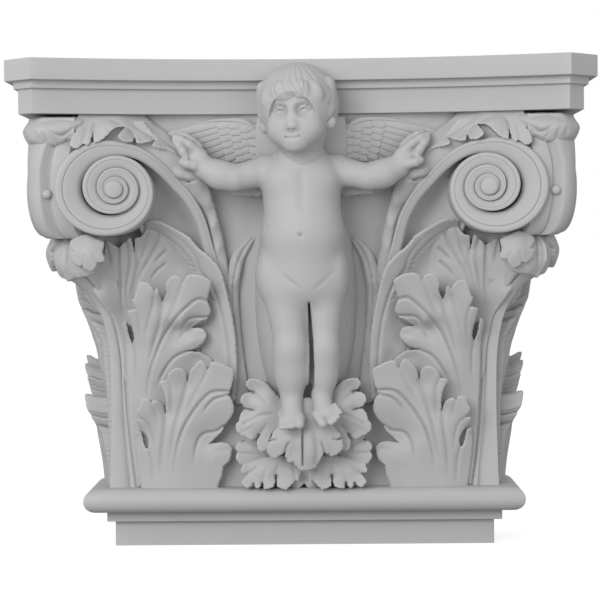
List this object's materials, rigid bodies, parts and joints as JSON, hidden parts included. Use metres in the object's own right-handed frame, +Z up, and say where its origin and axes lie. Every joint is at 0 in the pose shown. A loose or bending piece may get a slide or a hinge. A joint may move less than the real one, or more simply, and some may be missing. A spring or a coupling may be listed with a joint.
{
  "type": "pilaster capital",
  "caption": "Wall-backed pilaster capital with a winged infant standing between acanthus leaves and corner volutes under a hollow-fronted abacus.",
  "frame": {"origin": "centre of the neck band's underside, where the capital sits on the pilaster's shaft", "axes": "+Z up, +X to the right as seen from the front, +Y into the wall, so the carved front faces -Y"},
  "size_m": [0.56, 0.1939, 0.47],
  "materials": {
    "primed_casting": "matt pale grey primer over a rigid cast moulding"
  },
  "bodies": {
    "root": {"pilaster_capital": "primed_casting"}
  },
  "joints": []
}
